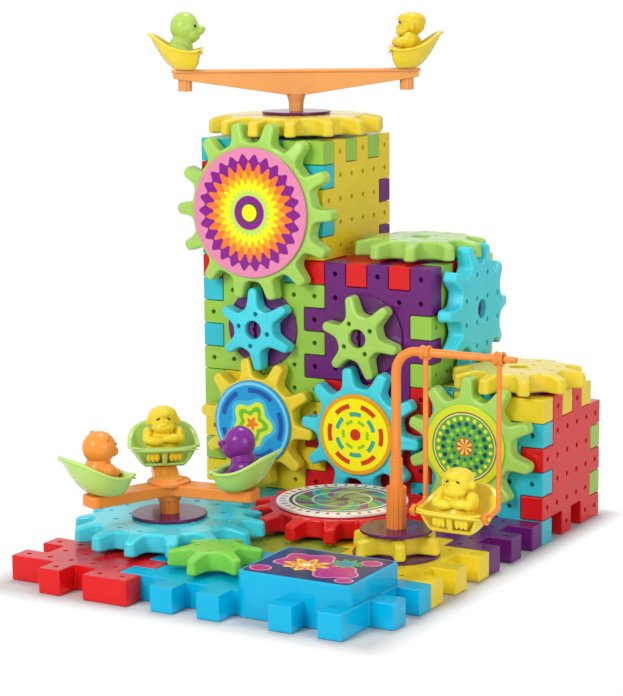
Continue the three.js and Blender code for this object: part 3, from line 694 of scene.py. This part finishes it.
label.lay((38, 30, 110))
clouds = blot(-0.28, 0.12, 5, 0.07, 0.4).math("MINIMUM", blot(0.42, -0.22, 4, 0.05, 1.0) + 0.1)
spots = blot(0.72, 0.5).math("MINIMUM", blot(-0.78, -0.55)).math("MINIMUM", blot(0.8, -0.6) + 0.03)
for shape, limit, rgb in (
        (clouds, 0.53, pale_pink),
        (clouds, 0.49, magenta),
        (spots, 0.2, pale_pink),
        (spots, 0.165, magenta),
        (blot(0.36, 0.3, 9, 0.06, 0.2), 0.25, (64, 170, 90)),
        (blot(0.36, 0.3, 9, 0.05, 0.2), 0.16, (30, 130, 190)),
        (blot(-0.2, -0.06, 8, 0.1), 0.33, (250, 214, 40)),
        (blot(-0.2, -0.06, 8, 0.08), 0.24, (240, 130, 40)),
        (blot(-0.2, -0.06, 8, 0.05), 0.12, (252, 240, 200))):
    label.lay(rgb, label.under(shape, limit))
sticker = slab(rectangle(*label_size, label_corner, *box_middle), label_edge, label_low, label_high)
new_piece("box_label", [sticker], carriers["motor_housing"], label.printed(), "frame")


# Clip discs: purple discs that plug into a wheel's bore and carry the carousel, the seesaw and the swing.
# Each topper grows from the middle of its disc.
clip_purple = moulded("clip_purple", (98, 20, 84), 0.14)
for name, radius in (("carousel", 19), ("seesaw", 19), ("swing", 17.9)):
    disc = slab(circle(radius * mm, 96), 0.4 * mm, cover_low, cover_top)
    new_piece(name + "_clip", [disc], spindle(name + "_gear"), clip_purple, name + "_wheel")


# Carousel: an orange post with three flat arms under a domed hub, moulded in one piece. The arms have
# rounded ends and each carries a boat seat.
arm_half, arm_reach, arm_low, arm_high = np.array([6.5, 48, 23, 28.8]) * mm
arm_turns = (7, 127, 247)
topper_orange = moulded("topper_orange", (236, 138, 54), 0.2)


def closed_rings(levels, sides):
    """Faces of rings one above another, whose two ends close on the two points that follow them."""
    ring = np.arange(sides)
    onward, last, centre = np.roll(ring, -1), (levels - 1) * sides, np.full(sides, levels * sides)
    low = np.stack([onward, ring, centre], 1)
    high = np.stack([last + ring, last + onward, centre + 1], 1)
    return ring_quads(levels, sides).reshape(-1, 4).tolist() + low.tolist() + high.tolist()


def lathe(profile, radii, sides=48):
    """Solid of revolution about z: the (distance, height) corners in millimetres are rounded, each level is
    a ring of points, and a single point closes either end on the axis."""
    line, facing = rounded_outline(np.array(profile) * mm, np.array(radii) * mm)
    off_axis = line[:, 0] > 1e-6
    line, facing = line[off_axis], facing[off_axis]
    around = np.pad(directions(even_turns(sides)), ((0, 0), (0, 1)), constant_values=1)
    rings, looks = ((pairs[:, None, [0, 0, 1]] * around).reshape(-1, 3) for pairs in (line, facing))
    points = np.concatenate([rings, [[0, 0, line[0, 1]], [0, 0, line[-1, 1]]]])
    return points, np.concatenate([looks, [[0, 0, -1], [0, 0, 1]]]), closed_rings(len(line), sides)


def arm_outline():
    """Three arms as one outline: two corners at each arm's end, and one where two arms meet."""
    third = math.radians(60)
    meet = arm_half / math.sin(third) * directions(third)
    corners = np.array([[arm_reach, -arm_half], [arm_reach, arm_half], meet])
    corners = turned_copies(corners, np.radians(arm_turns))
    return rounded_outline(corners, np.tile([3.2, 3.2, 2.0], 3) * mm, 6)


def fluted(outer, inner, ribs, x=0.0):
    """Outline of a ribbed round post about x: each rib takes half of its share of the turn."""
    share = 2 * np.pi / ribs
    corners = np.tile([outer, outer, inner, inner], ribs)
    turns = (np.arange(ribs)[:, None] * share + np.array([-0.22, 0.22, 0.32, 0.68]) * share).ravel()
    return rounded_outline(corners[:, None] * directions(turns) + [x, 0], 0.12 * mm, 3)


arms = slab(arm_outline(), 0.8 * mm, arm_low, arm_high, steps=4)
post = slab(fluted(5.1 * mm, 4.6 * mm, 14), 0.1 * mm, 12 * mm, 24 * mm)
collar = lathe([(0, 19.6), (5.9, 19.6), (6.3, 24), (0, 24)], [0, 0.5, 0.2, 0])
hub = lathe([(0, 28), (11, 28), (11, 30), (7.9, 30.2), (7.1, 31.2), (0, 31.7)], [0, 0.3, 0.8, 0.4, 0.9, 0])
new_piece("carousel_frame", [arms, post, collar, hub], spindle("carousel_gear"), topper_orange,
          "carousel_wheel", "carousel_arms")


# Boat seats: thin moulded shells with a straight front bar, two open windows for the legs and a high
# rounded back. The rim turns out into a narrow lip all round.
front_reach, back_reach = 10.0, 17.5
rim_half, front_half, bottom_half = 17.4, 15.6, 9.8
front_height, back_height = 9.2, 18.6
shell_wall, shell_edge, bevel_from = 1.2 * mm, 0.3 * mm, math.radians(50)
window_rows, window_steps = slice(2, 7), (slice(1, 9), slice(11, 19))
beam_turn = 30
arm_seat, beam_seat, swing_seat = (41, 29.1), (62.5, 36.4), (35.2, -4.8, 17.4)
bar_centre, bar_size = (front_reach + 0.6, 0, front_height - 0.1), (1.2, 17.6, 1.1)
waxy = {"Subsurface Weight": 0.06, "Subsurface Radius": (0.004, 0.004, 0.002)}
seat_green = moulded("seat_green", (184, 222, 116), 0.16, waxy)
seat_yellow = moulded("seat_yellow", (240, 212, 60), 0.16, waxy)


def in_metres(part):
    """A part that was measured in millimetres."""
    return part[0] * mm, part[1], part[2]


def boat_line(front, back, half, corner):
    """Plan of the boat: straight across the front between two corners, then each side swells to the half
    width within a third of its length and closes to a blunt end as (1 - s^5)^0.5, s running to the back."""
    nose = np.stack([np.full(21, front), np.linspace(-1, 1, 21) * half * corner], 1)
    s = 1 - (1 - np.linspace(0, 1, 38)[1:]) ** 1.5
    swell = corner + (1 - corner) * (1 - np.maximum(1 - s / 0.33, 0) ** 2)
    side = np.stack([front - (front + back) * s, half * swell * (1 - s ** 5) ** 0.5], 1)
    return np.concatenate([nose, side, side[-2::-1] * [1, -1]])


def boat_shell():
    """The seat's sheet: rings from the flat bottom to the rim, the plan growing as the height's share to the
    power 0.62, then a narrow lip. Over the share s of the way back the rim rises as 1 - (1 - s^3)^1.5, and a
    little at the two front corners."""
    shares = np.array([0, 0.03, 0.12, 0.25, 0.4, 0.55, 0.68, 0.79, 0.9, 1.0])
    rim = boat_line(front_reach, back_reach, rim_half, front_half / rim_half)
    base = boat_line(7.0, 3.4, bottom_half, 0.97)
    behind = np.clip((front_reach - rim[:, 0]) / (front_reach + back_reach), 0, 1)
    corner = np.where(behind > 0, np.maximum(1 - behind / 0.14, 0), (np.abs(rim[:, 1]) / front_half) ** 5)
    rise = 1 - (1 - behind ** 3) ** 1.5
    rim_height = front_height + (back_height - front_height) * rise + 0.9 * corner
    plan = base + (rim - base) * (shares ** 0.62)[:, None, None]
    onward = np.roll(rim, -1, axis=0) - np.roll(rim, 1, axis=0)
    outward = onward[:, ::-1] * [1, -1] / np.linalg.norm(onward, axis=1)[:, None]
    lip = rim + outward * np.array([0.5, 1.4])[:, None, None]
    height = np.concatenate([rim_height * shares[:, None], rim_height + np.array([[0.15], [0.2]])])
    levels, count = height.shape
    grid = np.concatenate([np.concatenate([plan, lip]), height[..., None]], 2)
    solid = np.ones((levels - 1, count), bool)
    for steps in window_steps:
        solid[window_rows, steps] = False
    around = np.arange(count)
    bottom = np.stack([np.roll(around, -1), around, np.full(count, levels * count)], 1)
    points = np.concatenate([grid.reshape(-1, 3), [[0, 0, 0]]])
    return points, 0 * points, ring_quads(levels, count)[solid].tolist() + bottom.tolist()


def ball(centre, size, tilt=0.0, rings=14, sides=20):
    """An ellipsoid about a centre: latitude and longitude, its long axis tilted in the x-z plane."""
    across = np.linspace(np.pi, 0, rings + 2)[1:-1]
    v, u = np.meshgrid(across, even_turns(sides), indexing="ij")
    shell = np.stack([np.sin(v) * np.cos(u), np.sin(v) * np.sin(u), np.cos(v)], -1).reshape(-1, 3)
    c, s = math.cos(math.radians(tilt)), math.sin(math.radians(tilt))
    points = np.concatenate([shell, [[0, 0, -1], [0, 0, 1]]]) * size
    points = points @ np.array([[c, 0, -s], [0, 1, 0], [s, 0, c]]) + centre
    return points, 0 * points, closed_rings(rings, sides)


def work(piece, **modifiers):
    """Gives a piece modifiers, each with its settings, and works them into its mesh."""
    for kind, settings in modifiers.items():
        modifier = piece.modifiers.new(kind, kind)
        for key, value in settings.items():
            setattr(modifier, key, value)
    graph = bpy.context.evaluated_depsgraph_get()
    done = bpy.data.meshes.new_from_object(piece.evaluated_get(graph), depsgraph=graph)
    piece.modifiers.clear()
    piece.data = done
    done.polygons.foreach_set("use_smooth", np.ones(len(done.polygons), bool))


def on_arm(wheel, heading, reach, height):
    """The place of a seat on an arm, turned so that its own x looks back to the axle."""
    angle = math.radians(heading)
    return set_on(spindle(wheel), heading + 180, [reach * math.cos(angle), reach * math.sin(angle), height])


seats = [("carousel_seat_" + side, on_arm("carousel_gear", heading, *arm_seat), seat_green, "carousel_wheel")
         for side, heading in zip(("right", "back", "left"), arm_turns)]
seats += [("seesaw_seat_" + side, on_arm("seesaw_gear", heading, *beam_seat), seat_yellow, "seesaw_wheel")
          for side, heading in (("right", beam_turn), ("left", beam_turn + 180))]
seats.append(("swing_seat", set_on(spindle("swing_gear"), -90, swing_seat), seat_yellow, "swing"))
for name, place, material, body in seats:
    boat = new_piece("boat_" + name, [in_metres(boat_shell())], place, material, body, name)
    work(boat, SOLIDIFY={"thickness": shell_wall, "offset": -1, "use_even_offset": True},
         BEVEL={"width": shell_edge, "segments": 2, "limit_method": "ANGLE", "angle_limit": bevel_from})
    boat.data.set_sharp_from_angle(angle=math.radians(40))
    new_piece("bar_" + name, [in_metres(ball(bar_centre, bar_size))], place, material, body)


# Seated animals: small soft-edged figures moulded in one colour, with round heads, folded arms and legs
# that fill the seat's windows. Their eyes are touched in with black.
figure_looks = {
    "carousel_seat_right": ("bird", (124, 34, 140)),
    "carousel_seat_back": ("monkey", (236, 208, 40)),
    "carousel_seat_left": ("bear", (246, 150, 62)),
    "seesaw_seat_right": ("monkey", (228, 200, 44)),
    "seesaw_seat_left": ("bird", (176, 208, 98)),
    "swing_seat": ("monkey", (238, 214, 52)),
}
eye_black = moulded("eye_black", (14, 12, 14), 0.12)


def balls(middle, *rows):
    """Balls about a middle, each row a place and three radii. A row off the middle plane is made on both
    sides."""
    return [ball(np.add(middle, (x, side * y, z)), shape[:3], *shape[3:])
            for x, y, z, *shape in rows for side in ((-1, 1) if y else (1,))]


def figure_parts(kind):
    """Head, body, arms and legs as overlapping balls, and the eyes, in millimetres about the seat's middle,
    x forwards."""
    seat = (0, 0, 0)
    toes = [(8.0, 5.9 + toe, 5.4, 1.2, 1.2, 3.0) for toe in (-2.3, 0, 2.3)]
    trunk = [(0, 0, 7.8, 7.4, 8.8, 6.2), (-0.4, 0, 12, 6.6, 7.4, 7.4), (5, 5.9, 5.8, 4, 3.7, 3.4)]
    parts = balls(seat, *trunk, *toes)
    if kind == "monkey":
        head = (-1.4, 0, 23.4)
        eyes = [(6.8, y, z, 0.5, 0.5, 0.42) for y, z in ((2.4, 1.4), (2.8, 1.2), (3.2, 0.95))]
        parts += balls(
            head,
            (0, 0, 0, 7.2, 7.2, 6.2),
            (-0.3, 0, 1.9, 7.5, 7.5, 4.9),
            (2.8, 0, 3.2, 5.2, 4.8, 3.0),
            (4.9, 0, -3.6, 4.1, 6.0, 3.3),
            (6.6, 0, -1.7, 2.4, 3.0, 1.9),
            (0.2, 7.2, -1.0, 1.5, 1.8, 2.4))
        parts += balls(seat, (0.4, 7.9, 14.8, 4.4, 3.1, 4.8), (4.6, 8.3, 14.0, 3.9, 2.7, 2.9))
        parts += [ball((7.0, side * 4.2, 14.0 + 0.5 * side), (2.8, 5.2, 2.5)) for side in (-1, 1)]
    if kind == "bear":
        head = (0.6, 0, 23.1)
        eyes = [(7.4, 3.4, 1.2, 0.6, 0.7, 0.8)]
        parts += balls(
            head,
            (0, 0, 0, 8.4, 8.4, 8.1),
            (7.2, 0, -2.8, 3.2, 3.8, 2.9),
            (0.2, 6.3, 5.6, 1.3, 1.9, 1.9))
        parts += balls(
            seat,
            (1.0, 0, 14.5, 5.4, 5.6, 4.4),
            (1.4, 7.4, 12.0, 3.8, 2.6, 4.2),
            (5.8, 4.6, 10.8, 3.2, 4.0, 2.3))
    if kind == "bird":
        head = (1.6, 0, 23.0)
        eyes = [(6.0, 4.95, 0.6, 0.8, 0.7, 0.8)]
        parts += balls(
            head,
            (0, 0, 0, 7.9, 7.9, 8.3),
            (3.0, 0, -3.6, 6.0, 6.2, 5.2),
            (8.4, 0, -0.8, 3.4, 3.4, 1.7, 8),
            (7.6, 0, -2.4, 3.4, 3.2, 2.0))
        parts += balls(seat, (0.2, 0, 13.6, 5.2, 5.2, 4.8), (-1.8, 6.9, 10.4, 6.0, 2.4, 4.2, 18))
    return parts, balls(head, *[eye + (0, 8, 12) for eye in eyes])


for name, place, _, body in seats:
    kind, rgb = figure_looks[name]
    parts, eyes = figure_parts(kind)
    plastic = moulded("figure_" + name, rgb, 0.2, waxy)
    figure = new_piece("figure_" + name, [in_metres(joined(parts))], place, plastic, body)
    work(figure, REMESH={"mode": "VOXEL", "voxel_size": 0.4 * mm}, SMOOTH={"factor": 0.5, "iterations": 4})
    new_piece("eyes_" + name, [in_metres(joined(eyes))], place, eye_black, body)


# Seesaw: an orange beam with a thin flange on top of a web that deepens to the middle, a funnel neck that
# stands on the clip disc, and a tube peg under each end.
half_length, flange_width, beam_top = np.array([68.5, 13, 36.1]) * mm
peg_reach, peg_bore, web_half = np.array([61, 2.3, 5]) * mm
beam_place = set_on(spindle("seesaw_gear"), beam_turn)
beam_orange = moulded("beam_orange", (232, 160, 92), 0.2)
web_line = np.array([(-67.5, 31.4), (-6.5, 22.3), (6.5, 22.3), (67.5, 31.4), (67.5, 35.2), (-67.5, 35.2)])
web_line = rounded_outline(web_line * mm, np.array([1, 6, 6, 1, 0.6, 0.6]) * mm)
beam = [
    slab(rectangle(2 * half_length, flange_width, 3.2 * mm), 0.4 * mm, beam_top - 1.5 * mm, beam_top),
    placed(slab(web_line, 0.5 * mm, -web_half, web_half), facings["front"], (0, 0, 0)),
    lathe([(0, 12.4), (3.9, 12.4), (4.1, 18), (5.4, 22.6), (5.4, 28), (0, 28)], [0, 0.3, 6, 1, 0.5, 0]),
]
for x in (-peg_reach, peg_reach):
    bore = (circle(peg_bore, 32, x, 0, -1), 0.25 * mm)
    beam.append(slab(fluted(3.9 * mm, 3.4 * mm, 8, x), 0.1 * mm, 24.3 * mm, 33 * mm, [bore]))
new_piece("seesaw_beam_frame", beam, beam_place, beam_orange, "seesaw_wheel", "seesaw_beam")


# Swing: an orange post that steps down from a ribbed sleeve, bends over into the arm and carries two
# hanger rods. Each rod has five bead rings on the arm and hooks forward onto a pin of the seat.
arm_height, arm_length, bend_radius = 101.1, 63.4, 11.0
swing_middle, hanger_offset = swing_seat[0], 19.3
hanger_radius, hanger_bend, hanger_knee = 1.25, 2.8, 28.8
hook_forward, hook_height = 12.8, 26.7
beads = ((2.75, 0.75, -1.7), (2.6, 0.5, -0.8), (2.6, 0.5, 0.0), (2.6, 0.5, 0.8), (2.75, 0.75, 1.7))
swing_place = spindle("swing_gear")


def bent_path(corners, bend, steps=10):
    """A path along straight legs whose corners are arcs of a radius, all in one plane."""
    corners = np.asarray(corners, float)
    path = [corners[:1]]
    for before, at, after in zip(corners[:-2], corners[1:-1], corners[2:]):
        back = (before - at) / np.linalg.norm(before - at)
        ahead = (after - at) / np.linalg.norm(after - at)
        half = math.acos(float(back @ ahead)) / 2
        centre = at + (back + ahead) / np.linalg.norm(back + ahead) * bend / math.sin(half)
        first, last = (at + way * bend / math.tan(half) - centre for way in (back, ahead))
        t = np.linspace(0, 1, steps)[:, None]
        sweep = math.acos(float(first @ last) / bend ** 2)
        path.append(centre + (np.sin((1 - t) * sweep) * first + np.sin(t * sweep) * last) / math.sin(sweep))
    path.append(corners[-1:])
    return np.concatenate(path)


def swept(path, radii, sides=20):
    """A round rod along a flat path, in millimetres: at each point a ring stands square to the path, and
    both ends close in a point. The rings' radii may change along the way."""
    along = np.gradient(path, axis=0)
    along = along / np.linalg.norm(along, axis=1)[:, None]
    level = np.cross(along[0], along[-1])
    level = level if np.linalg.norm(level) > 1e-3 else np.cross(along[0], [0.3, 1, 0.2])
    level = level / np.linalg.norm(level)
    around = directions(even_turns(sides))
    spokes = around[:, :1] * np.cross(level, along)[:, None] + around[:, 1:] * level
    rings = path[:, None] + np.broadcast_to(radii, len(path))[:, None, None] * spokes
    points = np.concatenate([rings.reshape(-1, 3), path[:1], path[-1:]])
    normals = np.concatenate([spokes.reshape(-1, 3), -along[:1], along[-1:]])
    return in_metres((points, normals, closed_rings(len(path), sides)))


def straight_rod(start, end, stops, radii):
    """A straight rod whose radius steps between stops, given as shares of its length."""
    return swept(start + np.subtract(end, start) * np.asarray(stops)[:, None], radii)


def ring_bead(radius, thickness, middle):
    """A round bead about the arm: a small circle carried round the arm's axis."""
    turns, sides = 40, 14
    v, u = np.meshgrid(even_turns(turns), even_turns(sides), indexing="ij")
    normals = np.stack([np.sin(u), np.cos(u) * np.cos(v), np.cos(u) * np.sin(v)], -1)
    spine = np.stack([0 * v, np.cos(v), np.sin(v)], -1)
    points = middle + radius * spine + thickness * normals
    faces = ring_quads(turns + 1, sides)[..., ::-1] % (turns * sides)
    return in_metres((points.reshape(-1, 3), normals.reshape(-1, 3), faces.reshape(-1, 4).tolist()))


post_path = bent_path([(0, 0, 47), (0, 0, arm_height), (arm_length - 9, 0, arm_height)], bend_radius)
tip_stops = [0, 0.02, 0.2, 0.22, 0.28, 0.3, 0.36, 0.38, 0.44, 0.46, 0.97, 1.0]
tip_radii = [1.75, 1.75, 1.75, 1.5, 1.5, 1.75, 1.75, 1.5, 1.5, 1.6, 1.4, 0.9]
swing_post = [
    swept(post_path, np.interp(np.arange(len(post_path)), [0, 10, 11], [2.4, 2.25, 1.75])),
    straight_rod((arm_length - 9.2, 0, arm_height), (arm_length, 0, arm_height), tip_stops, tip_radii),
    lathe([(0, 33), (3.3, 33), (3.1, 48.3), (0, 48.3)], [0, 0.3, 0.5, 0]),
    slab(fluted(4.95 * mm, 4.5 * mm, 12), 0.1 * mm, 12 * mm, 33.8 * mm),
]
new_piece("swing_post_frame", swing_post, swing_place, topper_orange, "swing_wheel", "swing_post")
for side, way in (("left", -1), ("right", 1)):
    x = swing_middle + way * hanger_offset
    corners = [(x, 0, arm_height - 2.6), (x, 0, hanger_knee), (x, -hook_forward, hook_height)]
    hanger = [swept(bent_path(corners, hanger_bend), hanger_radius)]
    hanger += [ring_bead(*bead, (x + along, 0, arm_height)) for *bead, along in beads]
    hanger += [ring_bead(2.2, 0.75, (x + along, -hook_forward, hook_height)) for along in (0, -way * 0.9)]
    new_piece("hanger_" + side, hanger, swing_place, topper_orange, "swing", "swing_rod_" + side)
    ends = [(x + way * along, -hook_forward, hook_height) for along in (-4.6, 1.9)]
    pin = straight_rod(*ends, [0, 0.02, 0.9, 1.0], [1.2, 1.2, 1.2, 0.7])
    new_piece("seat_pin_" + side, [pin], swing_place, seat_yellow, "swing")


# The studio: a pale floor and soft light, seen from the photograph's place. Close round the object the floor
# is painted a darker grey, a painted shadow on top of the shadows it takes there, and it is plain white
# further out.
foot_middle, foot_half, painted_shadow_width = (-0.0064, 0.0, 0.0), (0.1024, 0.1344), 0.014
floor_half, floor_height = 4.0, -0.0002
floor_mesh = bpy.data.meshes.new("floor")
corners = [(x * floor_half, y * floor_half, floor_height) for x, y in ((-1, -1), (1, -1), (1, 1), (-1, 1))]
floor_mesh.from_pydata(corners, [], [(0, 1, 2, 3)])
floor = in_scene("floor", floor_mesh)
ground = Finish(bpy.data.materials.new("floor_white_painted_shadow"))
here = ground.place(foot_middle)
outside = [(ground.node("SeparateXYZ", {0: here}, output=way).math("ABSOLUTE") - half)
           .math("MAXIMUM", 0.0) for way, half in enumerate(foot_half)]
away = (outside[0] * outside[0] + outside[1] * outside[1]).math("SQRT")
# The share of plain white grows from the footprint's edge outwards, over the width of the painted shadow.
far = ground.node("MapRange", {0: away, 1: 0.0, 2: painted_shadow_width, 3: 0.0, 4: 1.0})
seen = ground.node("LightPath", output=0)
plain = ground.node("BsdfDiffuse", {"Color": (0.85, 0.85, 0.85, 1)})
# Painted shadow: the camera sees the floor in a darker grey close round the footprint, fading to white over
# its width.
painted_shadow_floor = ground.node("BsdfDiffuse", {"Color": (0.62, 0.62, 0.62, 1)})
paper = ground.node("Emission", {"Color": (1, 1, 1, 1), "Strength": 1.0})
bright = ground.node("MixShader", {0: far, 1: painted_shadow_floor, 2: paper})
surface = ground.node("MixShader", {0: seen, 1: plain, 2: bright})
ground.node("OutputMaterial", {"Surface": surface})
floor_mesh.materials.append(ground.material)

world = bpy.data.worlds.new("studio")
bpy.context.scene.world = world
sky = Finish(world)
ray_kinds = ("Is Camera Ray", "Is Glossy Ray", "Is Transmission Ray")
rays = [sky.node("LightPath", output=kind) for kind in ray_kinds]
share = rays[0].math("MAXIMUM", rays[1]).math("MAXIMUM", rays[2])
soft = sky.node("Background", {"Color": (1, 1, 1, 1), "Strength": 0.5})
white = sky.node("Background", {"Color": (1, 1, 1, 1), "Strength": 1.0})
surface = sky.node("MixShader", {0: share, 1: soft, 2: white})
sky.node("OutputWorld", {"Surface": surface})


def lamp(name, place, size, power):
    """A soft box: a square area lamp at a place, turned to the middle of the object."""
    data = bpy.data.lights.new(name, "AREA")
    data.size, data.energy = size, power
    light = in_scene(name, data)
    light.location = place
    light.rotation_euler = (object_middle - Vector(place)).to_track_quat("-Z", "Y").to_euler()


object_middle = Vector((0.0, 0.03, 0.1))
lamp("key", (-0.3, -1.15, 0.7), 0.4, 9.2)
lamp("fill", (1.15, -0.5, 0.4), 0.6, 4.5)
lamp("top", (-0.14, 0.36, 1.1), 0.34, 4.0)

photo_width, focal_pixels = 623, 2156.9
camera_place = (0.52756, -0.93934, 0.29172)
azimuth, elevation, roll = math.radians(29.66), math.radians(9.82), math.radians(-0.49)
camera_data = bpy.data.cameras.new("camera")
camera_data.sensor_fit = "HORIZONTAL"
camera_data.sensor_width = 36.0
camera_data.lens = camera_data.sensor_width * focal_pixels / photo_width
camera_data.clip_end = 20.0
camera = in_scene("camera", camera_data)
aim = Matrix.Rotation(azimuth, 4, "Z") @ Matrix.Rotation(math.pi / 2 - elevation, 4, "X")
camera.matrix_world = Matrix.Translation(camera_place) @ aim @ Matrix.Rotation(roll, 4, "Z")
bpy.context.scene.camera = camera
bpy.context.scene.view_settings.view_transform = "Standard"
